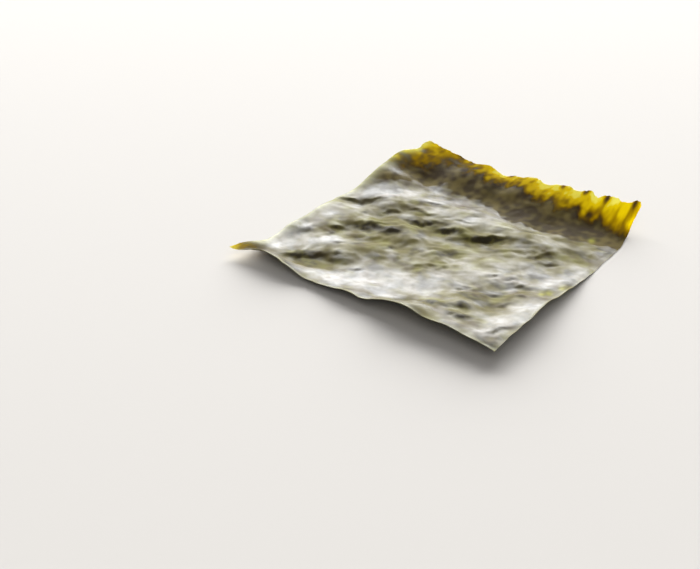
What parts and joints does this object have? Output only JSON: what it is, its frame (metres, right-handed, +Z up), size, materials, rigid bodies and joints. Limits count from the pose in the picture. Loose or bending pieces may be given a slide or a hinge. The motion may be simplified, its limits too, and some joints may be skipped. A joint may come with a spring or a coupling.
{
  "type": "roasted nori sheet",
  "caption": "Thin, nearly square leaf of roasted nori lying on a surface, wavy and crinkled, with one ragged edge that lifts and curls up at a corner.",
  "frame": {"origin": "on the surface that the leaf lies on, under the middle of its plan", "axes": "+Z up from that surface, +Y towards the ragged natural edge, +X along that edge towards the corner that curls up"},
  "size_m": [0.0998, 0.1034, 0.011],
  "materials": {
    "nori": "dark green, crinkled, glossy on its smooth parts"
  },
  "bodies": {
    "root": {"nori_sheet": "nori"}
  },
  "joints": []
}
